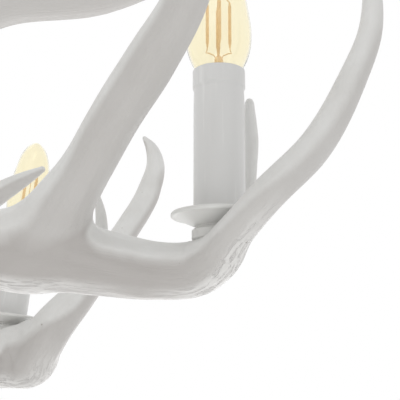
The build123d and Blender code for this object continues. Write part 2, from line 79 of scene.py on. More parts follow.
# ---- castings ----
HUB_FACE = 38
BUTT_DROP = {"upper": 2, "lower": 19}
BUTT_RADIUS = 22
BUTT_START = -8         # a beam starts inside the hub's face, where it is cut off
BURR_RADIUS = 24.5
BURR_OFFSET = 7
SHAFT_OFFSET = 16
SHAFT_RADIUS = 19.5
PAD_RADIUS = 13.2
PAD_DEPTH = 16
PAD_FOOT_RADIUS = 7
PAD_BLEND = 4
NUT_ROOM = 0.4          # free space round the nut
BORE_DEPTH = 14         # of the nipple's bore below the top of the pad
VOXEL = 1.3             # of the grid that the castings are drawn on
REACH = 15              # how far from a surface the grid knows its distance
GRID_MARGIN = 4         # of the grid round a casting
SEAT_BOX = (40, 30)     # reach of pad and nut round the candle's foot, back and forth
PATH_STEP = 3.5

# Stations along each beam or tine as (x, y, z, radius), x and y from the arm's candle.
BEAM = {
    "upper": [
        (-183, 0, -10, 19.5),
        (-113, 1, -19.5, 18.9),
        (-63, 3, -26, 17.3),
        (-33, 4, -29.8, 15.5),
        (-13, 1, -29.2, 14.7),
        (-3.5, -9, -24.9, 12.9),
        (5.6, -28.2, -13.9, 9.4),
        (20.1, -40.2, 2.2, 8.8),
        (42.5, -40.5, 25.4, 8.6),
        (64.5, -37, 63, 7.4),
        (76, -35, 92, 6.2),
        (78, -34, 116, 4.8),
        (74, -35, 142, 2.6),
    ],
    "lower": [
        (-193, -8, -26, 19.5),
        (-113, -6, -34, 19),
        (-58, -3, -39, 18.5),
        (-26, -3, -41, 18.4),
        (-8, -11, -41, 18.3),
        (-3, -27.5, -36, 18),
        (-9.8, -41, -24, 18.2),
        (-12, -55, -9, 16.3),
        (1.6, -66.6, 12.6, 13.9),
        (41.7, -86.2, 71, 10.8),
        (69.3, -93.9, 114, 10.2),
        (75.7, -96.2, 140, 8),
        (75.1, -91.3, 156, 5),
        (72.8, -86, 164, 2.1),
    ],
}
TINES = {
    "upper": [
        # the long tine that leans across in front of the candle
        [(-101, 0, -21, 17), (-88.5, -7, -6, 16.5), (-68, -25, 19.6, 13), (-56.4, -38, 37.5, 12.6),
         (-38, -57, 61.8, 12.7), (-22, -78, 84, 10.6), (-13, -98, 112, 8.4), (-12, -112, 138, 5.8),
         (-17, -120, 160, 2.6)],
        # the finger behind the candle
        [(-11, 8, -27, 7), (9, 26, -16, 5.6), (20, 28, 0, 4.4), (19.4, 22.4, 20.9, 3.5),
         (19.7, 19.2, 35.3, 3.8), (19.8, 16.8, 46.3, 4), (19, 14.5, 57.3, 3.5),
         (18.4, 12.5, 66.7, 2.7)],
        # the small spur on the back of the beam
        [(-62, 9, -24, 5), (-63, 20, -10, 3.9), (-64, 21, 4, 3), (-66.5, 21, 15, 1.6)],
    ],
    "lower": [
        # the tine that hooks over on the clockwise side
        [(-130, -7, -32, 14), (-125, -13, -7, 12.5), (-114, -25, 33, 10.4), (-102, -43, 65, 8.8),
         (-93, -62, 81.5, 7.8), (-89, -80, 90.5, 5.4), (-86, -94, 97, 2.4)],
        # the long tine that sweeps out on the anticlockwise side
        [(-108, -4, -33, 15), (-99, 14, -9, 12.5), (-77, 41, 27, 10.5), (-51, 65, 49.4, 9.4),
         (-29, 85, 59, 8.9), (-12.6, 108.3, 62.2, 8.6), (-1, 127, 73.1, 7.8), (8, 144, 95, 6.4),
         (13, 157, 122, 4.6), (15, 165, 148, 2.4)],
    ],
}
FORK_BLEND = 15         # how softly a tine runs into its beam
FORK_SHARE = 1.6        # the most of that, as a share of the tine's first radius
# Round masses that run into a casting, as (x, y, z, radius): the thick knob of the bend and
# the shoulders under the pan.
KNUCKLES = {
    "upper": [],
    "lower": [(-4, -24, -37.2, 21.3), (-9, -31, -19.5, 14.5), (-18, -16, -24, 13.5)],
}
KNUCKLE_BLEND = 8

# Ridges round a section: how many, and how high as a share of the radius. They wind round a
# little, swell and sink by a share of their height, and fade towards the tip of a branch.
RIDGES = [(2, 0.022), (3, 0.016), (5, 0.012), (8, 0.011), (13, 0.009), (19, 0.006)]
RIDGE_WINDING = 0.011   # its spread, in radians per millimetre
RIDGE_SWELL = 0.35
SWELL_LENGTH = (25, 60)
TIP_FADE = 45
TIP_SHARE = 0.15
RIDGE_ROOM = 1.08       # of a radius, so that most ridges lie within reach
# Knobs round the burr: how many and how high, how far they reach along the beam, and how far
# and how fast they sway.
PEARLS = (15, 0.05)
PEARL_REACH = 5
PEARL_SWAY = (0.9, 1.1)

# The flatter face on the clockwise side of each beam: its middle, its half width and how far it
# is worked out round the beam in degrees, how flat it is, how soft its edges are and how far
# that is lifted back, and where along the beam it fades in and out.
FACE_MIDDLE, FACE_HALF, FACE_LIMIT = 191, 37, 80
FACE_SHARE, FACE_SOFTNESS, FACE_LIFT = 0.8, 0.02, 0.004
FACE_START, FACE_END = (40, 110), (255, 315)

# Rough bark under each beam, lightened by a painted highlight: its middle and fade round the beam
# in degrees, and its strength at places along it.
BARK_AND_HIGHLIGHT_MIDDLE = -94
BARK_AND_HIGHLIGHT_FADE = {"upper": (34, 46), "lower": (45, 70)}
BARK_AND_HIGHLIGHT_AT, BARK_AND_HIGHLIGHT_SHARE = (110, 150, 200, 235, 262, 300, 335), (0, 0.9, 0.6, 0.15, 0.8, 0.6, 0)

# Painted shade on flanks that look down: how far up they look where it starts and where it is full,
# how it thins out along a beam, and its share on each tine.
PAINTED_SHADE_LOOK = (0.12, -0.12)
PAINTED_SHADE_AT = (240, 300)
PAINTED_SHADE_SHARE = {"upper": (1, 0.55), "lower": (1, 0.8)}
PAINTED_SHADE_ON_TINES = {"upper": (0.65, 0, 0.4), "lower": (0.7, 0.7)}
EVENING_ROUNDS = 14     # of the slopes that decide where the painted shade lies

GRAIN_SHIFT = 500       # sets the grain of one branch apart from the next
GRAIN_FADE = 5          # how near to another branch the grain fades
POINTS_AT_ONCE = 8000

# ---- candle light ----
PAN_RADIUS = 26.5
PAN_RIM_RADIUS = 1.3
PAN_ROLL = 2.2          # radians that the rim is rolled, up and down from its widest line
PAN_ROLL_POINTS = 12
PAN_WALL = 1.6
PAN_FLOOR = -2.6
PAN_BOTTOM = -8.2
PAN_NECK_RADIUS = 12.5
PAN_NECK_TOP = -6.9
PAN_FLAT_RADIUS = 15
PAN_UNDERSIDE = [(13.4, -6.6), (20.5, -3.6)]
PAN_UPSIDE = (20.5, -1.9)
PAN_UNEVEN = 0.25
PAN_WAVES = (3, 5)
PAN_UNEVEN_RISE = 12    # how far out from the neck it is fully uneven
NIPPLE_RADIUS = 5.05
SLEEVE_RADIUS = 13.9
SLEEVE_BORE = 13.1
SLEEVE_TOP = 80
COLLAR_RADIUS = 14.4
COLLAR_HEIGHT = 9
# The tube narrows a little below its collar: by how much, and where that starts, where it is
# full and where the collar is reached, down from the collar.
WAIST = 0.2
WAIST_START, WAIST_END, COLLAR_EDGE = 12, 2.2, 0.6
SKIN = 0.3              # what lies no deeper than this counts as the outside of the tube

# Runs of wax down the sleeve: how many, their half width in radians, the height of their lower
# end, how far they stand out, and how far and over what length they sway. Each has a soft end
# with a bead: its share, its rise above the end and its half length.
WAX_RUNS = 5
WAX_WIDTH = (0.05, 0.12)
WAX_END = (5, 55)
WAX_HEIGHT = (0.12, 0.3)
WAX_SWAY, WAX_SWAY_LENGTH = 0.02, (6, 12)
WAX_SOFTNESS = 1.5
BEAD_SHARE, BEAD_RISE, BEAD_LENGTH = 0.6, 1.5, 2.2

# ---- bulb, heights from the bottom of the glass ----
GLASS_BOTTOM = 66.3     # above the rim of the pan
GLASS_WALL = 0.8
GLASS_TIP = 87
GLASS_BODY = [(7.2, 0), (8.6, 5), (12.2, 13.5), (15.4, 19.5), (17.6, 26.5), (18.4, 35.5),
              (17.0, 48), (14.4, 63), (11.4, 75), (6.2, 83.6)]
GLASS_STEPS = 6
CAP_RADIUS = 6.95
CAP_LENGTH = 22
CONTACT_HEIGHT = 2
CONTACT_RADIUS = 3
THREAD_PITCH = 3.2
THREAD_DEPTH = 0.55
THREAD_ENDS = (3, 4)    # plain ends of the cap below and above the thread
THREAD_SKIN = 0.1       # what lies no deeper than this counts as the outside of the cap
STEM_RADIUS = 3.4
STEM_HOLE_RADIUS = STEM_RADIUS + 0.05
STEM_FOOT = -2
STEM_LENGTH = 23
STEM = [(STEM_FOOT, STEM_RADIUS), (9, STEM_RADIUS), (STEM_LENGTH - 5, 2.6),
        (STEM_LENGTH - 1.5, 2.3), (STEM_LENGTH, 1.2)]       # (height, radius)
FILAMENT_COUNT = 4
FILAMENT_RING = 6.3
FILAMENT_RADIUS = 0.9
FILAMENT_RISE = 28
FILAMENT_LENGTH = 27
ROD_END = [(0, 0.3), (0.3, 0.55), (2, 0.55), (2.3, FILAMENT_RADIUS)]    # (from the tip, radius)
LEAD_RADIUS = 0.32
# A lead as (out, height): out of the stem from its top, and round into a rod from its foot.
LEAD_START = [(1.2, -2), (2.6, 0.4)]
LEAD_HOOK = [(5.2, -3.4), (7.1, -3.1), (6.5, -1.6), (FILAMENT_RING, 0)]
# The wires that hold the rods' heads: a straight post from inside the stem, past a point above
# the rods' feet, to the crown above their heads, and from there a bent holder to each rod.
POST_START = -1
POST_MIDDLE = 9
CROWN_RISE = 3.2
HOLDER_BEND_SHARE, HOLDER_BEND_RISE = 0.6, 3

# ---- colours ----
RESIN, RESIN_DARK = (0.725, 0.725, 0.715), (0.675, 0.67, 0.655)
# A painted highlight: the lighter colour of the bark under the beams.
RESIN_PAINTED_HIGHLIGHT = (0.86, 0.855, 0.845)
# Painted shade: on flanks that look down and in the bark's furrows.
RESIN_PAINTED_SHADE = (0.47, 0.45, 0.435)
PIT_COLOUR = (0.36, 0.33, 0.29)
ENAMEL, ENAMEL_DARK = (0.72, 0.72, 0.705), (0.675, 0.67, 0.655)
CANDLE, CANDLE_LIGHT = (0.67, 0.67, 0.665), (0.73, 0.73, 0.725)
CREAM, CREAM_DARK = (0.74, 0.72, 0.66), (0.68, 0.66, 0.6)
STEEL, STEEL_DARK = (0.55, 0.55, 0.54), (0.42, 0.42, 0.42)
BRASS, BRASS_DARK = (0.72, 0.62, 0.40), (0.6, 0.5, 0.32)
AMBER, AMBER_DARK = (0.98, 0.945, 0.81), (0.975, 0.93, 0.77)
COAT, COAT_DARK = (0.70, 0.55, 0.35), (0.60, 0.44, 0.26)
GLOW, GLOW_STRENGTH = (0.72, 0.48, 0.25), 0.4
FLOOR, FLOOR_DARK = (0.88, 0.88, 0.875), (0.86, 0.86, 0.855)

# ---- textures: (scale, detail, roughness) of each noise, and heights in metres ----
# The first three lie on the grain, in millimetres along and round a branch; all others lie in
# the piece's own metres.
STREAKS, STREAK_HEIGHT = (0.42, 4, 0.6), 0.0006
FINE_GRAIN, FINE_HEIGHT = (1.5, 3, 0.6), 0.00015
FURROWS, FURROW_DEPTH = (0.5, 3, 0.6), 0.0009
TOOTH, TOOTH_HEIGHT = (700, 3, 0.6), 0.00003
BLOTCHES = (38, 4, 0.6)
GRAIN_STRETCH = (0.07, 1, 1)
FURROW_STRETCH = (0.13, 1, 1)
SLEEVE_STRETCH = (1, 1, 0.06)
PIT_SCALE, PIT_DEPTH = 60.0, 0.0005
PIT_EDGE = (0.05, 0.02)         # from the pit's rim to its full depth, as shares of a cell
PIT_CHANCE = (0.55, 0.56)       # cells below have none, cells above have one
FURROW_EDGE = (0.5, 0.4)        # of its noise
MIDDLE = (0.3, 0.7)             # the range that a noise mostly stays in
BLOTCH_RANGE = (0.35, 0.7)
STREAK_RANGE = (0.58, 0.72)
# Shares of the painted highlight on the bark, of the painted shade in its furrows and of the pits'
# colour.
PAINTED_HIGHLIGHT_MIX, FURROW_PAINTED_SHADE_MIX, PIT_MIX = 0.8, 0.6, 0.8
RESIN_ROUGHNESS = (0.42, 0.55)
RESIN_IOR = 1.46
ENAMEL_BLOTCHES, ENAMEL_ROUGHNESS = (45, 4), (0.43, 0.58)
PEEL, PEEL_HEIGHT = (90, 2), 0.0002
FINE_PEEL, FINE_PEEL_HEIGHT = (420, 2), 0.00003
SLEEVE_STREAKS, SLEEVE_STREAK_HEIGHT = (330, 3), 0.00004
SLEEVE_TOOTH, SLEEVE_TOOTH_HEIGHT = (700, 2), 0.00003
SLEEVE_ROUGHNESS = (0.3, 0.38)
HOLDER_CLOUDS, HOLDER_ROUGHNESS = (60, 3), (0.25, 0.35)
HOLDER_RIPPLE, HOLDER_RIPPLE_HEIGHT = (300, 2), 0.00005
DRAWING_MARKS, DRAWING_MARK_HEIGHT = (500, 4), 0.00008
STEEL_ROUGHNESS, BRASS_ROUGHNESS = (0.3, 0.45), (0.22, 0.37)
GLASS_CLOUDS, GLASS_ROUGHNESS, GLASS_IOR = (26, 2), 0.02, 1.45
GLASS_RIPPLE, GLASS_RIPPLE_HEIGHT = (60, 2), 0.0002
COAT_GRAIN, COAT_ROUGHNESS = (900, 2), (0.4, 0.6)
FLOOR_CLOUDS, FLOOR_ROUGHNESS = (8, 3), 0.8

# ---- camera ----
CAMERA_PLACE = (0.26577, -0.41502, -0.50235)
CAMERA_HEADING = 3.7    # degrees from +Y towards +X
CAMERA_PITCH = 12.2
CAMERA_LENS = 72
CAMERA_NEAR = 0.02
SENSOR = 36

# ---- light of the surroundings ----
FROM_ABOVE = 0.83
FROM_BELOW = 0.7
FROM_BEHIND = 1.2
LOW_TO_HIGH = (-0.7, 0.6)       # Z of the direction, from where it is low to where it is high
FRONT_TO_BACK = (0.1, 0.6)      # Y of the direction
DAYLIGHT = (1, 0.995, 0.985)
WHITE = (1, 1, 1)

# ---- lamps, as (place, width and height, watts), aimed just inward of the near candle ----
LAMPS = {
    "top_box": ((-0.2, -0.9, 0.7), (1.4, 1.4), 2.2),
    "fill_box": ((0.2, -0.8, -1.35), (0.9, 0.9), 2.6),
    "back_box": ((0.25, 1.5, -1.0), (1.8, 0.8), 6.5),
}
LAMP_TARGET = (0.25, 0, -0.42)

# ---- floor ----
FLOOR_HEIGHT = -1.75    # metres
FLOOR_RINGS = (0, 500, 1400)


# ---------------------------------------------------------------- meshes
def mesh_from(name, points, faces):
    """A smooth-shaded mesh from points in millimetres."""
    mesh = bpy.data.meshes.new(name)
    mesh.from_pydata((np.asarray(points, float) * MM).tolist(), [],
                     [list(map(int, f)) for f in faces])
    mesh.polygons.foreach_set("use_smooth", [True] * len(mesh.polygons))
    mesh.validate()
    mesh.update()
    return mesh


def place(name, mesh, matrix, body, node):
    """One piece of the object at its place, riding on its body and standing for its node."""
    piece = bpy.data.objects.new(name, mesh)
    bpy.context.scene.collection.objects.link(piece)
    piece.matrix_world = matrix
    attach(piece, body)
    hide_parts(node)
    return piece


def rounded(corners, radius, steps=4):
    """A closed (radius, height) outline with its corners rounded off, but for those on the axis."""
    on_axis = 1e-6
    most = 2.2      # a corner takes no more of an edge than its length over this
    corners = [Vector(c) for c in corners]
    out = []
    for i, corner in enumerate(corners):
        before, after = corners[i - 1], corners[(i + 1) % len(corners)]
        if corner.x < on_axis:
            out.append(tuple(corner))
            continue
        cut_in = min(radius, (before - corner).length / most)
        cut_out = min(radius, (after - corner).length / most)
        start = corner + (before - corner).normalized() * cut_in
        end = corner + (after - corner).normalized() * cut_out
        for step in range(steps + 1):
            t = step / steps
            out.append(tuple(start * (1 - t) ** 2 + corner * 2 * t * (1 - t) + end * t * t))
    return out


def split(outline, longest):
    """A closed outline with its long edges divided."""
    out = []
    for start, end in zip(outline, outline[1:] + outline[:1]):
        a, b = Vector(start), Vector(end)
        parts = max(1, math.ceil((b - a).length / longest))
        out += [tuple(a.lerp(b, k / parts)) for k in range(parts)]
    return out


def revolved(name, outline, segments, closed=True, shift=None):
    """A surface of revolution about Z. shift(radius, height, angle) gives the drawn radius."""
    angles = np.linspace(0, 2 * math.pi, segments, endpoint=False)
    rows = np.array(outline, float)
    radius = np.repeat(rows[:, :1], segments, axis=1)
    height = np.repeat(rows[:, 1:], segments, axis=1)
    angle = np.repeat(angles[None, :], len(rows), axis=0)
    if shift:
        radius = shift(radius, height, angle)
    points = np.stack([radius * np.cos(angle), radius * np.sin(angle), height], -1)
    faces = []
    last = len(rows) if closed else len(rows) - 1
    for i in range(last):
        j = (i + 1) % len(rows)
        for k in range(segments):
            m = (k + 1) % segments
            faces.append((i * segments + k, i * segments + m, j * segments + m, j * segments + k))
    mesh = mesh_from(name, points.reshape(-1, 3), faces)
    weld(mesh)
    return mesh


def weld(mesh):
    """Merges the points that lie together, as at a pole, and turns the faces outward."""
    together = 1e-7
    work = bmesh.new()
    work.from_mesh(mesh)
    bmesh.ops.remove_doubles(work, verts=work.verts, dist=together)
    bmesh.ops.recalc_face_normals(work, faces=work.faces)
    work.to_mesh(mesh)
    work.free()


def directions(path):
    """The direction of a path at each of its points."""
    along = np.gradient(path, axis=0)
    return along / np.linalg.norm(along, axis=1)[:, None]


def across_path(along, start):
    """Two directions across a path, carried along it without twist."""
    first = np.empty_like(along)
    across = np.array(start)
    for i, direction in enumerate(along):
        across = across - direction * across.dot(direction)
        across /= np.linalg.norm(across)
        first[i] = across
    return first, np.cross(along, first)


def tube_points(path, radii, sides):
    """Points and faces of a tube along a path of points, closed at both ends."""
    path = np.array(path, float)
    along = directions(path)
    aside = (0.31, 0.67, 0.21)      # no tube starts this way
    first, second = across_path(along, np.cross(along[0], aside))
    points, faces = [], []
    for i, (centre, radius) in enumerate(zip(path, radii)):
        for k in range(sides):
            turn = 2 * math.pi * k / sides
            spoke = math.cos(turn) * first[i] + math.sin(turn) * second[i]
            points.append(centre + radius * spoke)
            if i:
                a, b = (i - 1) * sides + k, (i - 1) * sides + (k + 1) % sides
                faces.append((a, b, b + sides, a + sides))
    end = (len(path) - 1) * sides
    faces.append(tuple(reversed(range(sides))))
    faces.append(tuple(range(end, end + sides)))
    return points, faces


def joined(name, parts):
    """One mesh from several lists of points and faces."""
    points, faces = [], []
    for some_points, some_faces in parts:
        start = len(points)
        points += list(some_points)
        faces += [tuple(start + i for i in face) for face in some_faces]
    return mesh_from(name, points, faces)


def lengths_along(points):
    """How far along its path each point lies."""
    steps = np.linalg.norm(np.diff(points, axis=0), axis=1)
    return np.concatenate([[0], np.cumsum(steps)])


def curve_through(knots, at, slopes, where):
    """Rows of a smooth curve through the knots, at some lengths along it."""
    span = np.clip(np.searchsorted(at, where, side="right") - 1, 0, len(at) - 2)
    width = np.diff(at)[span][:, None]
    t = (where - at[span])[:, None] / width
    return ((2 * t**3 - 3 * t**2 + 1) * knots[span] + (t**3 - 2 * t**2 + t) * width * slopes[span]
            + (3 * t**2 - 2 * t**3) * knots[span + 1] + (t**3 - t**2) * width * slopes[span + 1])


def wrapped(angle, turn=2 * math.pi):
    """The same angle within half a turn of zero."""
    return (angle + turn / 2) % turn - turn / 2


# ---------------------------------------------------------------- castings
def smooth_path(stations):
    """Dense points and radii of a curve through the stations."""
    knots = np.array(stations, float)
    at = lengths_along(knots[:, :3])
    steps = max(4, round(at[-1] / PATH_STEP))
    where = np.linspace(0, at[-1], steps + 1)
    return curve_through(knots, at, np.gradient(knots, at, axis=0), where)


class Branch:
    """A beam or tine: its path, its frames and the ridges round it."""

    def __init__(self, stations, seed, burr=None):
        self.path = smooth_path(stations)
        self.along = directions(self.path[:, :3])
        self.first, self.second = across_path(self.along, (0.0, 1.0, 0.0))
        self.at = lengths_along(self.path[:, :3])
        self.burr = burr
        random = np.random.default_rng(seed)
        self.phase = random.uniform(0, 2 * math.pi, len(RIDGES))
        self.winding = random.normal(0, RIDGE_WINDING, len(RIDGES))
        self.swell = random.uniform(*SWELL_LENGTH, len(RIDGES))

    def height_of_ridges(self, angle, at, radius):
        """How far the surface stands off the round section, in millimetres."""
        total = np.zeros_like(angle)
        for (count, share), phase, winding, length in zip(RIDGES, self.phase, self.winding,
                                                          self.swell):
            wave = np.cos(count * angle + phase + winding * count * at)
            total += share * wave * (1 - RIDGE_SWELL + RIDGE_SWELL * np.sin(at / length + phase))
        total *= np.clip((self.at[-1] - at) / TIP_FADE, TIP_SHARE, 1)
        if self.burr is not None:
            count, share = PEARLS
            sway, rate = PEARL_SWAY
            near = np.exp(-((at - self.burr) / PEARL_REACH) ** 2)
            total += share * near * np.cos(count * angle + sway * np.sin(at * rate))
            total += self.flat_face(angle, at)
        return total * radius

    def flat_face(self, angle, at):
        """How far the flat face lies inside the round section, as a share of the radius."""
        off = np.abs(wrapped(angle - math.radians(FACE_MIDDLE)))
        off = np.clip(off, 0, math.radians(FACE_LIMIT))
        flat = math.cos(math.radians(FACE_HALF)) / np.cos(off) - 1
        flat = 0.5 * (flat - np.sqrt(flat ** 2 + FACE_SOFTNESS ** 2)) + FACE_LIFT
        here = np.interp(at, (*FACE_START, *FACE_END), (0, 1, 1, 0))
        return FACE_SHARE * np.minimum(flat, 0) * here


def branches_of(tier):
    """The beam and the tines of one tier, in the frame of its arm."""
    px, py = CANDLE_PLACE[tier]
    beam, *tines = [[(x + px, y + py, z, radius) for x, y, z, radius in stations]
                    for stations in (BEAM[tier], *TINES[tier])]
    butt = [(HUB_FACE + offset, 0, -BUTT_DROP[tier], radius) for offset, radius in
            ((BUTT_START, BUTT_RADIUS), (0, BUTT_RADIUS), (BURR_OFFSET, BURR_RADIUS),
             (SHAFT_OFFSET, SHAFT_RADIUS))]
    branches = [Branch(butt + beam, SEED, burr=BURR_OFFSET - BUTT_START)]
    return branches + [Branch(stations, SEED + 1 + n) for n, stations in enumerate(tines)]


def part_between(field, low, lowest, highest):
    """The part of the grid between two corners, and its coordinates along each axis."""
    start = np.maximum(np.floor((lowest - low) / VOXEL).astype(int), 0)
    stop = np.minimum(np.ceil((highest - low) / VOXEL).astype(int) + 1, field.shape)
    part = tuple(slice(a, b) for a, b in zip(start, stop))
    return part, [low[n] + VOXEL * np.arange(start[n], stop[n]) for n in range(3)]


def offsets_from(centre, axes):
    """The way from a centre to each point of a part of the grid."""
    near = [axis - middle for axis, middle in zip(axes, centre)]
    return np.stack(np.meshgrid(*near, indexing="ij"), -1)


def add_branch(field, low, branch):
    """Writes the distance to one branch into its part of the grid."""
    for i in range(len(branch.path) - 1):
        a, b = branch.path[i], branch.path[i + 1]
        pad = max(a[3], b[3]) * RIDGE_ROOM + REACH
        part, axes = part_between(field, low, np.minimum(a[:3], b[:3]) - pad,
                                  np.maximum(a[:3], b[:3]) + pad)
        offset = offsets_from(a[:3], axes)
        way = b[:3] - a[:3]
        t = np.clip(offset @ way / way.dot(way), 0, 1)
        offset -= t[..., None] * way
        away = np.sqrt((offset ** 2).sum(-1))
        angle = np.arctan2(offset @ branch.second[i], offset @ branch.first[i])
        radius = a[3] + t * (b[3] - a[3])
        at = branch.at[i] + t * (branch.at[i + 1] - branch.at[i])
        off = away - radius - branch.height_of_ridges(angle, at, radius)
        np.minimum(field[part], off, out=field[part])


def soft_union(one, two, blend):
    """Distance to two forms that run into each other with a fillet."""
    share = np.clip(0.5 + 0.5 * (two - one) / blend, 0, 1)
    return two + (one - two) * share - blend * share * (1 - share)


def add_ball(field, low, centre, radius):
    """Lets a round knob run into the form in the grid."""
    pad = radius + REACH
    part, axes = part_between(field, low, centre - pad, centre + pad)
    away = np.sqrt((offsets_from(centre, axes) ** 2).sum(-1)) - radius
    field[part] = soft_union(field[part], away, KNUCKLE_BLEND)


def rod_field(offset, axis, radius, bottom, top, foot=None):
    """Distance to a round bar with flat ends, or to one that narrows to its foot."""
    height = offset @ axis
    away = np.sqrt(np.maximum((offset ** 2).sum(-1) - height ** 2, 0)) - radius
    if foot is not None:
        away += (radius - foot) * np.clip((top - height) / (top - bottom), 0, 1)
    return np.maximum(away, np.maximum(bottom - height, height - top))


def add_seat(field, low, tier):
    """Lets the pad run into the form in the grid, and clears the nut's room and the bore."""
    matrix = candle_matrix(tier)
    foot = np.array(matrix.translation) / MM
    axis = np.array(matrix.to_3x3().col[2])
    back, forth = SEAT_BOX
    part, axes = part_between(field, low, foot - back, foot + forth)
    offset = offsets_from(foot, axes)
    pad = rod_field(offset, axis, PAD_RADIUS, SEAT - PAD_DEPTH, SEAT, PAD_FOOT_RADIUS)
    room = rod_field(offset, axis, SEAT_NUT_RADIUS + NUT_ROOM, SEAT, 0)
    bore = rod_field(offset, axis, NIPPLE_RADIUS, SEAT - BORE_DEPTH, 0)
    piece = soft_union(field[part], pad, PAD_BLEND)
    field[part] = np.maximum(piece, np.maximum(-room, -bore))


def casting_mesh(tier):
    """The antler of one tier as one skin, in the frame of its arm."""
    branches = branches_of(tier)
    everything = np.concatenate([branch.path for branch in branches])
    margin = everything[:, 3].max() + GRID_MARGIN
    low = everything[:, :3].min(0) - margin
    shape = tuple(np.ceil((everything[:, :3].max(0) + margin - low) / VOXEL).astype(int) + 1)
    whole = np.full(shape, REACH, np.float32)
    add_branch(whole, low, branches[0])
    for branch in branches[1:]:
        tine = np.full(shape, REACH, np.float32)
        add_branch(tine, low, branch)
        whole = soft_union(whole, tine, min(FORK_BLEND, FORK_SHARE * branch.path[0, 3]))

    px, py = CANDLE_PLACE[tier]
    for x, y, z, radius in KNUCKLES[tier]:
        add_ball(whole, low, np.array((x + px, y + py, z)), radius)
    add_seat(whole, low, tier)
    hub_side = HUB_FACE - (low[0] + VOXEL * np.arange(shape[0]))
    whole = np.maximum(whole, hub_side[:, None, None].astype(np.float32))

    grid = openvdb.FloatGrid(REACH)
    grid.copyFromArray(np.ascontiguousarray(np.clip(whole, -REACH, REACH), np.float32))
    grid.transform = openvdb.createLinearTransform(voxelSize=VOXEL)
    points, quads = grid.convertToQuads(isovalue=0.0)
    points = points.astype(float) + low
    mesh = mesh_from(f"{tier}_casting", points, quads)
    add_grain(mesh, points, branches, tier)
    return mesh


def casting_at(arm, casting):
    """A copy of the casting on its arm, whose ridges stay inside the box of the solids."""
    mesh = casting.copy()
    mesh.transform(arm)
    points = np.empty(3 * len(mesh.vertices))
    mesh.vertices.foreach_get("co", points)
    points = np.clip(points.reshape(-1, 3), *cad_box)
    mesh.vertices.foreach_set("co", points.ravel())
    mesh.update()
    return mesh


def evened(mesh, values, rounds):
    """Values at the points of a mesh, averaged with their neighbours round after round."""
    ends = np.empty(2 * len(mesh.edges), np.int32)
    mesh.edges.foreach_get("vertices", ends)
    one, two = ends[::2], ends[1::2]
    count = len(values)
    share = 1 + np.bincount(ends, minlength=count)
    for _ in range(rounds):
        total = np.bincount(one, values[two], count) + np.bincount(two, values[one], count)
        values = (values + total) / share
    return values


def nearest_on(branch, points):
    """For each point, the nearest step of a branch's path and how far outside it the point is."""
    nearest = np.empty(len(points), int)
    gap = np.empty(len(points))
    for start in range(0, len(points), POINTS_AT_ONCE):
        block = slice(start, start + POINTS_AT_ONCE)
        away = np.linalg.norm(points[block, None, :] - branch.path[None, :, :3], axis=2)
        away -= branch.path[None, :, 3]
        nearest[block] = away.argmin(1)
        gap[block] = away.min(1)
    return nearest, gap


def add_grain(mesh, points, branches, tier):
    """Stores where each point lies along and round its branch, and where bark, painted highlight
    and painted shade lie on it.
    """
    best = np.full(len(points), np.inf)
    second = np.full(len(points), np.inf)
    grain = np.empty((len(points), 3))
    for order, branch in enumerate(branches):
        nearest, gap = nearest_on(branch, points)
        offset = points - branch.path[nearest, :3]
        along = branch.at[nearest] + (offset * branch.along[nearest]).sum(1)
        here = np.stack([
            along + GRAIN_SHIFT * order,
            (offset * branch.first[nearest]).sum(1),
            (offset * branch.second[nearest]).sum(1)], 1)
        closer = gap < best
        if order == 0:      # the beam, which comes first and gives every point its values
            # Where rough bark lies under the beam, lightened by a painted highlight.
            around = np.degrees(np.arctan2(here[:, 2], here[:, 1]))
            bark_and_highlight = np.interp(np.abs(wrapped(around - BARK_AND_HIGHLIGHT_MIDDLE, 360)), BARK_AND_HIGHLIGHT_FADE[tier], (1, 0))
            bark_and_highlight *= np.interp(along, BARK_AND_HIGHLIGHT_AT, BARK_AND_HIGHLIGHT_SHARE)
            # How strong the painted shade is along the beam.
            share = np.interp(along, PAINTED_SHADE_AT, PAINTED_SHADE_SHARE[tier])
        else:
            bark_and_highlight[closer] = 0
            share[closer] = PAINTED_SHADE_ON_TINES[tier][order - 1]
        second = np.where(closer, best, np.minimum(second, gap))
        grain[closer] = here[closer]
        best = np.minimum(best, gap)

    clear = np.clip((second - best) / GRAIN_FADE, 0, 1)
    look = np.empty(3 * len(points))
    mesh.vertices.foreach_get("normal", look)
    up = evened(mesh, look[2::3], EVENING_ROUNDS)
    # Painted shade on the flanks that look down, full where branches meet.
    painted_shade = 1 - (1 - share) * clear
    painted_shade *= np.interp(-up, [-x for x in PAINTED_SHADE_LOOK], (0, 1))
    store = mesh.attributes.new("grain", "FLOAT_VECTOR", "POINT")
    store.data.foreach_set("vector", grain.astype(np.float32).ravel())
    for name, values in (("grain_clear", clear), ("bark_and_highlight", bark_and_highlight), ("painted_shade", painted_shade)):
        store = mesh.attributes.new(name, "FLOAT", "POINT")
        store.data.foreach_set("value", values.astype(np.float32))


# ---------------------------------------------------------------- places
def arm_matrix(tier, number):
    """Frame of one arm, in metres."""
    turn = math.radians(FIRST_ANGLE[tier] + 360 / ARMS_PER_TIER * (number - 1))
    return Matrix.Rotation(turn, 4, "Z") @ Matrix.Translation((0, 0, LEVEL[tier] * MM))


def candle_matrix(tier):
    """Frame of the candle in its arm, in metres."""
    x, y = CANDLE_PLACE[tier]
    bearing = math.radians(LEAN_BEARING)
    lean = math.radians(CANDLE_LEAN[tier])
    return (Matrix.Translation((x * MM, y * MM, 0)) @ Matrix.Rotation(bearing, 4, "Z")
            @ Matrix.Rotation(lean, 4, "Y") @ Matrix.Rotation(-bearing, 4, "Z"))


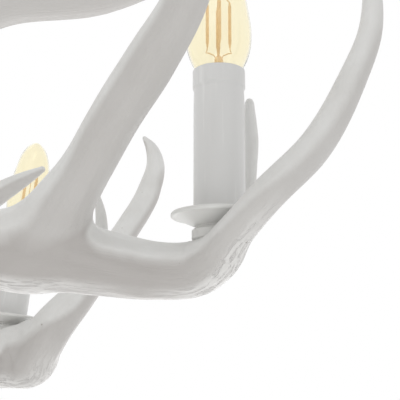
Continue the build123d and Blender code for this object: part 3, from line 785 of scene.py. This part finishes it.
# ---------------------------------------------------------------- candle light
def wax_runs(radius, height, angle):
    """Raised runs of wax down the outside of the sleeve."""
    random = np.random.default_rng(WAX_SEED)
    outside = radius > SLEEVE_RADIUS - SKIN
    total = np.zeros_like(radius)
    for _ in range(WAX_RUNS):
        where = random.uniform(0, 2 * math.pi)
        width = random.uniform(*WAX_WIDTH)
        end = random.uniform(*WAX_END)
        size = random.uniform(*WAX_HEIGHT)
        sway = WAX_SWAY * np.sin(height / random.uniform(*WAX_SWAY_LENGTH))
        off = wrapped(angle - where - sway)
        above = 1 / (1 + np.exp(-(height - end) / WAX_SOFTNESS))
        bead = BEAD_SHARE * np.exp(-((height - end - BEAD_RISE) / BEAD_LENGTH) ** 2)
        total += size * np.exp(-(off / width) ** 2) * (above + bead)
    return radius + np.where(outside, total, 0)


def sleeve_mesh():
    """Candle tube with a thicker mouth and faint wax runs."""
    shoulder = SLEEVE_TOP - COLLAR_HEIGHT
    outline = [(SLEEVE_BORE, PAN_FLOOR), (SLEEVE_RADIUS, PAN_FLOOR),
               (SLEEVE_RADIUS, shoulder - WAIST_START),
               (SLEEVE_RADIUS - WAIST, shoulder - WAIST_END),
               (COLLAR_RADIUS, shoulder - COLLAR_EDGE),
               (COLLAR_RADIUS, SLEEVE_TOP), (SLEEVE_BORE, SLEEVE_TOP)]
    return revolved("candle_sleeve", split(rounded(outline, 0.4), longest=1.6), segments=144,
                    shift=wax_runs)


def pan_mesh():
    """Shallow dish with a rolled rim, slightly uneven as a casting is."""
    edge = PAN_RADIUS - PAN_RIM_RADIUS
    roll = [(edge + PAN_RIM_RADIUS * math.cos(a), -PAN_WALL / 2 + PAN_RIM_RADIUS * math.sin(a))
            for a in np.linspace(-PAN_ROLL, PAN_ROLL, PAN_ROLL_POINTS)]
    outline = [(NIPPLE_RADIUS, PAN_BOTTOM), (PAN_NECK_RADIUS, PAN_BOTTOM),
               (PAN_NECK_RADIUS, PAN_NECK_TOP), *PAN_UNDERSIDE, *roll,
               PAN_UPSIDE, (PAN_FLAT_RADIUS, PAN_FLOOR), (NIPPLE_RADIUS, PAN_FLOOR)]

    def uneven(radius, height, angle):
        share = np.clip((radius - PAN_NECK_RADIUS) / PAN_UNEVEN_RISE, 0, 1)
        one, two = PAN_WAVES
        return radius - share * PAN_UNEVEN * (1 + np.sin(one * angle + 1) * np.cos(two * angle))

    return revolved("drip_pan", split(rounded(outline, 0.5, steps=2), longest=2.5), segments=128,
                    shift=uneven)


# ---------------------------------------------------------------- bulb
def glass_profile(inset):
    """Points up the glass from its bottom to its tip, as far inside as inset."""
    knots = [(r - inset, h - inset * (h / GLASS_TIP) ** 4) for r, h in GLASS_BODY]
    knots = np.array(knots + [(0, GLASS_TIP - inset)], float)
    at = lengths_along(knots)
    slopes = np.gradient(knots, at, axis=0)
    slopes[-1] = (-1, 0)
    where = [np.linspace(a, b, GLASS_STEPS, endpoint=False) for a, b in zip(at, at[1:])]
    out = curve_through(knots, at, slopes, np.concatenate([*where, at[-1:]]))
    return [(r, GLASS_BOTTOM + h) for r, h in out]


def glass_mesh():
    """Thin hollow glass, open only round its stem."""
    outside = glass_profile(0)
    floor = GLASS_BOTTOM + GLASS_WALL
    (brim, _), *inside = glass_profile(GLASS_WALL)
    inside = [(brim, floor), *inside]
    foot = [(STEM_HOLE_RADIUS, floor), (STEM_HOLE_RADIUS, GLASS_BOTTOM)]
    return revolved("bulb_glass", outside + list(reversed(inside)) + foot, segments=72)


def cap_mesh():
    """Rolled screw cap with its contact."""
    low = GLASS_BOTTOM - CAP_LENGTH
    well = GLASS_BOTTOM + STEM_FOOT
    outline = [(0, low - CONTACT_HEIGHT), (CONTACT_RADIUS, low - CONTACT_HEIGHT),
               (CONTACT_RADIUS, low), (CAP_RADIUS, low + CONTACT_HEIGHT),
               (CAP_RADIUS, GLASS_BOTTOM), (STEM_HOLE_RADIUS, GLASS_BOTTOM),
               (STEM_HOLE_RADIUS, well), (0, well)]

    def thread(radius, height, angle):
        turns = (height - low) / THREAD_PITCH - angle / (2 * math.pi)
        depth = THREAD_DEPTH * (0.5 - 0.5 * np.cos(2 * math.pi * turns))
        below, above = THREAD_ENDS
        threaded = ((radius > CAP_RADIUS - THREAD_SKIN) & (height > low + below)
                    & (height < GLASS_BOTTOM - above))
        return radius - np.where(threaded, depth, 0)

    return revolved("bulb_cap", split(rounded(outline, 0.4, steps=2), longest=0.5), segments=64,
                    shift=thread)


def filament_mesh():
    """Glass stem, leads and the upright coated rods with their metal ends."""
    foot = GLASS_BOTTOM + FILAMENT_RISE
    head = foot + FILAMENT_LENGTH
    stem_top = GLASS_BOTTOM + STEM_LENGTH
    crown = (0, 0, head + CROWN_RISE)
    heights, radii = zip(*STEM)
    post = [(0, 0, stem_top + POST_START), (0, 0, foot + POST_MIDDLE), crown]
    parts = [tube_points([(0, 0, GLASS_BOTTOM + h) for h in heights], radii, sides=20),
             tube_points(post, [LEAD_RADIUS] * len(post), sides=8)]
    rod = [(foot + h, r) for h, r in ROD_END] + [(head - h, r) for h, r in reversed(ROD_END)]
    lead = ([(out, stem_top + h) for out, h in LEAD_START]
            + [(out, foot + h) for out, h in LEAD_HOOK])
    holder = [(0, head + CROWN_RISE), (HOLDER_BEND_SHARE * FILAMENT_RING, head + HOLDER_BEND_RISE),
              (FILAMENT_RING, head)]
    for k in range(FILAMENT_COUNT):
        turn = 2 * math.pi * k / FILAMENT_COUNT
        x, y = math.cos(turn), math.sin(turn)
        parts.append(tube_points([(FILAMENT_RING * x, FILAMENT_RING * y, h) for h, _ in rod],
                                 [r for _, r in rod], sides=12))
        for wire in (lead, holder):
            parts.append(tube_points([(out * x, out * y, h) for out, h in wire],
                                     [LEAD_RADIUS] * len(wire), sides=8))
    return joined("bulb_filament", parts)


# ---------------------------------------------------------------- materials
class Nodes:
    """A small helper that adds nodes to a material or to the world."""

    def __init__(self, owner):
        owner.use_nodes = True
        self.owner = owner
        self.tree = owner.node_tree

    def plug(self, socket, value):
        """Links a socket to another, or sets it; a colour is written without its alpha."""
        if isinstance(value, bpy.types.NodeSocket):
            self.tree.links.new(value, socket)
        else:
            socket.default_value = (*value, 1) if socket.type == "RGBA" else value

    def feed(self, name, value):
        """Plugs a value into the material's surface."""
        self.plug(self.tree.nodes["Principled BSDF"].inputs[name], value)

    def add(self, kind, settings=None, **inputs):
        node = self.tree.nodes.new(kind)
        for key, value in (settings or {}).items():
            setattr(node, key, value)
        for key, value in inputs.items():
            self.plug(node.inputs[key.replace("_", " ")], value)
        return node

    def place_of(self):
        """Coordinates in the piece's own metres."""
        return self.add("ShaderNodeTexCoord").outputs["Object"]

    def stored(self, name, output="Fac"):
        """What add_grain stored at each point."""
        return self.add("ShaderNodeAttribute", {"attribute_name": name}).outputs[output]

    def noise(self, where, scale, detail=3.0, rough=0.55):
        node = self.add("ShaderNodeTexNoise", Vector=where, Scale=scale, Detail=detail,
                        Roughness=rough)
        return node.outputs["Fac"]

    def maths(self, kind, operation, one, two):
        node = self.add(kind, {"operation": operation})
        self.plug(node.inputs[0], one)
        self.plug(node.inputs[1], two)
        return node.outputs[0]

    def times(self, one, two):
        return self.maths("ShaderNodeMath", "MULTIPLY", one, two)

    def stretched(self, where, factors):
        return self.maths("ShaderNodeVectorMath", "MULTIPLY", where, factors)

    def between(self, fac, low, high, to_low=0.0, to_high=1.0):
        """Maps the range from low to high to another, and clamps it there."""
        node = self.add("ShaderNodeMapRange", Value=fac, From_Min=low, From_Max=high,
                        To_Min=to_low, To_Max=to_high)
        return node.outputs["Result"]

    def mix(self, fac, one, two):
        node = self.add("ShaderNodeMix", {"data_type": "RGBA"})
        for index, value in ((0, fac), (6, one), (7, two)):
            self.plug(node.inputs[index], value)
        return node.outputs[2]

    def cloudy(self, fac, one, two):
        """A colour that drifts into another with a noise."""
        return self.mix(self.between(fac, *MIDDLE), one, two)

    def bump(self, height, distance, under=None, strength=1.0):
        node = self.add("ShaderNodeBump", Height=height, Strength=strength, Distance=distance)
        if under is not None:
            self.plug(node.inputs["Normal"], under)
        return node.outputs["Normal"]

    def sunk(self, depth, distance, under, strength):
        """Bump that goes inward where depth is 1."""
        return self.bump(self.between(depth, 0, 1, 1, 0), distance, under, strength)


def resin():
    """Off-white cast resin: lengthwise grain, fine tooth, bark with a painted highlight, painted
    shade, a few pits.
    """
    n = Nodes(bpy.data.materials.new("antler_resin"))
    here = n.place_of()
    grain = n.stored("grain", "Vector")
    clear, bark_and_highlight, painted_shade = n.stored("grain_clear"), n.stored("bark_and_highlight"), n.stored("painted_shade")
    drawn_out = n.stretched(grain, GRAIN_STRETCH)
    blotch = n.noise(here, *BLOTCHES)
    cells = n.add("ShaderNodeTexVoronoi", Vector=here, Scale=PIT_SCALE)
    chance = n.add("ShaderNodeSeparateColor", Color=cells.outputs["Color"]).outputs["Red"]
    pits = n.times(n.between(cells.outputs["Distance"], *PIT_EDGE), n.between(chance, *PIT_CHANCE))
    furrows = n.noise(n.stretched(grain, FURROW_STRETCH), *FURROWS)
    furrows = n.times(n.between(furrows, *FURROW_EDGE), bark_and_highlight)

    colour = n.mix(n.between(blotch, *BLOTCH_RANGE), RESIN, RESIN_DARK)
    # Painted shade on the flanks that look down.
    colour = n.mix(painted_shade, colour, RESIN_PAINTED_SHADE)
    # A painted highlight on the bark under the beams.
    colour = n.mix(n.times(bark_and_highlight, PAINTED_HIGHLIGHT_MIX), colour, RESIN_PAINTED_HIGHLIGHT)
    # Painted shade in the bark's furrows.
    colour = n.mix(n.times(furrows, FURROW_PAINTED_SHADE_MIX), colour, RESIN_PAINTED_SHADE)
    n.feed("Base Color", n.mix(n.times(pits, PIT_MIX), colour, PIT_COLOUR))
    n.feed("Roughness", n.between(blotch, *MIDDLE, *RESIN_ROUGHNESS))
    n.feed("IOR", RESIN_IOR)
    normal = n.bump(n.noise(drawn_out, *STREAKS), STREAK_HEIGHT,
                    strength=n.between(clear, 0, 1, 0.0, 0.7))
    normal = n.bump(n.noise(drawn_out, *FINE_GRAIN), FINE_HEIGHT, normal, strength=0.5)
    normal = n.bump(n.noise(here, *TOOTH), TOOTH_HEIGHT, normal, strength=0.5)
    normal = n.sunk(furrows, FURROW_DEPTH, normal, strength=0.8)
    n.feed("Normal", n.sunk(pits, PIT_DEPTH, normal, strength=0.6))
    return n.owner


def enamel():
    """Sprayed white enamel over metal, with a slight orange-peel."""
    n = Nodes(bpy.data.materials.new("white_metal"))
    here = n.place_of()
    blotch = n.noise(here, *ENAMEL_BLOTCHES)
    n.feed("Base Color", n.mix(n.between(blotch, *BLOTCH_RANGE), ENAMEL, ENAMEL_DARK))
    n.feed("Roughness", n.between(blotch, *MIDDLE, *ENAMEL_ROUGHNESS))
    peel = n.bump(n.noise(here, *FINE_PEEL), FINE_PEEL_HEIGHT, strength=0.5)
    n.feed("Normal", n.bump(n.noise(here, *PEEL), PEEL_HEIGHT, peel, strength=0.3))
    return n.owner


def candle_plastic():
    """Matte white sleeve with faint streaks down its length."""
    n = Nodes(bpy.data.materials.new("candle_plastic"))
    here = n.place_of()
    streak = n.noise(n.stretched(here, SLEEVE_STRETCH), *SLEEVE_STREAKS)
    n.feed("Base Color", n.mix(n.between(streak, *STREAK_RANGE), CANDLE, CANDLE_LIGHT))
    n.feed("Roughness", n.between(streak, *MIDDLE, *SLEEVE_ROUGHNESS))
    tooth = n.bump(n.noise(here, *SLEEVE_TOOTH), SLEEVE_TOOTH_HEIGHT)
    n.feed("Normal", n.bump(streak, SLEEVE_STREAK_HEIGHT, tooth, strength=0.3))
    return n.owner


def holder_plastic():
    """Smooth cream moulding."""
    n = Nodes(bpy.data.materials.new("holder_plastic"))
    here = n.place_of()
    cloud = n.noise(here, *HOLDER_CLOUDS)
    n.feed("Base Color", n.cloudy(cloud, CREAM, CREAM_DARK))
    n.feed("Roughness", n.between(cloud, *MIDDLE, *HOLDER_ROUGHNESS))
    n.feed("Normal", n.bump(n.noise(here, *HOLDER_RIPPLE), HOLDER_RIPPLE_HEIGHT))
    return n.owner


def plated(name, colour, dark, roughness):
    """Plated metal with fine drawing marks."""
    n = Nodes(bpy.data.materials.new(name))
    fine = n.noise(n.place_of(), *DRAWING_MARKS)
    n.feed("Base Color", n.cloudy(fine, colour, dark))
    n.feed("Metallic", 1.0)
    n.feed("Roughness", n.between(fine, *MIDDLE, *roughness))
    n.feed("Normal", n.bump(fine, DRAWING_MARK_HEIGHT, strength=0.5))
    return n.owner


def amber_glass():
    """Thin amber glass with a slight ripple."""
    n = Nodes(bpy.data.materials.new("amber_glass"))
    here = n.place_of()
    n.feed("Base Color", n.cloudy(n.noise(here, *GLASS_CLOUDS), AMBER, AMBER_DARK))
    n.feed("Roughness", GLASS_ROUGHNESS)
    n.feed("IOR", GLASS_IOR)
    n.feed("Transmission Weight", 1.0)
    n.feed("Normal", n.bump(n.noise(here, *GLASS_RIPPLE), GLASS_RIPPLE_HEIGHT, strength=0.2))
    return n.owner


def filament_coat():
    """Coated filament rods and their leads, seen against the light."""
    n = Nodes(bpy.data.materials.new("filament_glow"))
    grainy = n.noise(n.place_of(), *COAT_GRAIN)
    n.feed("Base Color", n.cloudy(grainy, COAT, COAT_DARK))
    n.feed("Roughness", n.between(grainy, *MIDDLE, *COAT_ROUGHNESS))
    # A faint painted glow lights the rods and leads inside the glass.
    n.feed("Emission Color", GLOW)
    n.feed("Emission Strength", GLOW_STRENGTH)
    return n.owner


def make_materials():
    """One material for each slot of the record."""
    return {
        "antler_resin": resin(),
        "white_metal": enamel(),
        "candle_plastic": candle_plastic(),
        "holder_plastic": holder_plastic(),
        "hardware_steel": plated("hardware_steel", STEEL, STEEL_DARK, STEEL_ROUGHNESS),
        "cap_metal": plated("cap_metal", BRASS, BRASS_DARK, BRASS_ROUGHNESS),
        "amber_glass": amber_glass(),
        "filament_glow": filament_coat(),
    }


# ---------------------------------------------------------------- assembly
def dress_arms(materials):
    """The pieces of all arms: casting, pan, sleeve, bulb."""
    shared = {
        "drip_pan": (pan_mesh(), "white_metal"),
        "candle_sleeve": (sleeve_mesh(), "candle_plastic"),
        "bulb_cap": (cap_mesh(), "cap_metal"),
        "bulb_glass": (glass_mesh(), "amber_glass"),
        "bulb_filament": (filament_mesh(), "filament_glow"),
    }
    for mesh, slot in shared.values():
        mesh.materials.append(materials[slot])
    for tier in LEVEL:
        casting = casting_mesh(tier)
        casting.materials.append(materials["antler_resin"])
        for number in range(1, ARMS_PER_TIER + 1):
            arm = arm_matrix(tier, number)
            place(f"{tier}_casting_{number}", casting_at(arm, casting), Matrix(), "fixture",
                  f"{tier}_antler_{number}")
            for name, (mesh, slot) in shared.items():
                body = f"{tier}_bulb_{number}" if name.startswith("bulb") else "fixture"
                place(f"{tier}_{name}_look_{number}", mesh, arm @ candle_matrix(tier), body,
                      f"{tier}_{name}_{number}")


def dress_cad_nodes(materials):
    """Materials for the nodes that keep the shape of their solids."""
    slots = {row["node"]: row["material_slot"] for row in frame["record"]["subparts"]}
    for name, node in frame["nodes"].items():
        node.data.materials.clear()
        node.data.materials.append(materials[slots[name]])


# ---------------------------------------------------------------- stage
def make_world():
    """White to the camera and in reflections; as a light, bright from behind and dim from below."""
    world = bpy.data.worlds.new("studio")
    bpy.context.scene.world = world
    n = Nodes(world)
    n.tree.nodes.clear()
    way = n.add("ShaderNodeSeparateXYZ",
                Vector=n.add("ShaderNodeTexCoord").outputs["Generated"]).outputs
    level = n.add("ShaderNodeMix")
    n.plug(level.inputs[0], n.between(way["Y"], *FRONT_TO_BACK))
    n.plug(level.inputs[2], n.between(way["Z"], *LOW_TO_HIGH, FROM_BELOW, FROM_ABOVE))
    n.plug(level.inputs[3], FROM_BEHIND)
    light = n.add("ShaderNodeBackground", Color=DAYLIGHT, Strength=level.outputs[0])
    plain = n.add("ShaderNodeBackground", Color=WHITE)

    rays = n.add("ShaderNodeLightPath").outputs
    mirror = n.maths("ShaderNodeMath", "MAXIMUM", rays["Is Glossy Ray"],
                     rays["Is Transmission Ray"])
    seen = n.maths("ShaderNodeMath", "MAXIMUM", rays["Is Camera Ray"], mirror)
    both = n.add("ShaderNodeMixShader")
    for index, value in enumerate((seen, light.outputs[0], plain.outputs[0])):
        n.plug(both.inputs[index], value)
    n.add("ShaderNodeOutputWorld", Surface=both.outputs[0])


def make_floor():
    """A round pale floor well below."""
    mesh = revolved("floor", [(radius, 0) for radius in FLOOR_RINGS], segments=96,
                    closed=False)
    floor = bpy.data.objects.new("floor", mesh)
    bpy.context.scene.collection.objects.link(floor)
    floor.location = (0, 0, FLOOR_HEIGHT)
    n = Nodes(bpy.data.materials.new("floor"))
    n.feed("Base Color", n.cloudy(n.noise(n.place_of(), *FLOOR_CLOUDS), FLOOR, FLOOR_DARK))
    n.feed("Roughness", FLOOR_ROUGHNESS)
    mesh.materials.append(n.owner)


def area_light(name, spot, size, power):
    """A soft rectangular lamp."""
    data = bpy.data.lights.new(name, "AREA")
    data.shape = "RECTANGLE"
    data.size, data.size_y = size
    data.energy = power
    lamp = bpy.data.objects.new(name, data)
    bpy.context.scene.collection.objects.link(lamp)
    lamp.location = spot
    aim = Vector(LAMP_TARGET) - Vector(spot)
    lamp.rotation_mode = "QUATERNION"
    lamp.rotation_quaternion = aim.to_track_quat("-Z", "Y")


def make_camera():
    """The photograph's view: close, looking up a little."""
    data = bpy.data.cameras.new("camera")
    data.lens = CAMERA_LENS
    data.sensor_width = SENSOR
    data.clip_start = CAMERA_NEAR
    camera = bpy.data.objects.new("camera", data)
    bpy.context.scene.collection.objects.link(camera)
    camera.location = CAMERA_PLACE
    camera.rotation_euler = (math.radians(90 + CAMERA_PITCH), 0, -math.radians(CAMERA_HEADING))
    bpy.context.scene.camera = camera


def main():
    bpy.context.scene.view_settings.view_transform = "Standard"
    materials = make_materials()
    dress_cad_nodes(materials)
    dress_arms(materials)
    make_camera()
    make_world()
    for name, (spot, size, power) in LAMPS.items():
        area_light(name, spot, size, power)
    make_floor()


main()
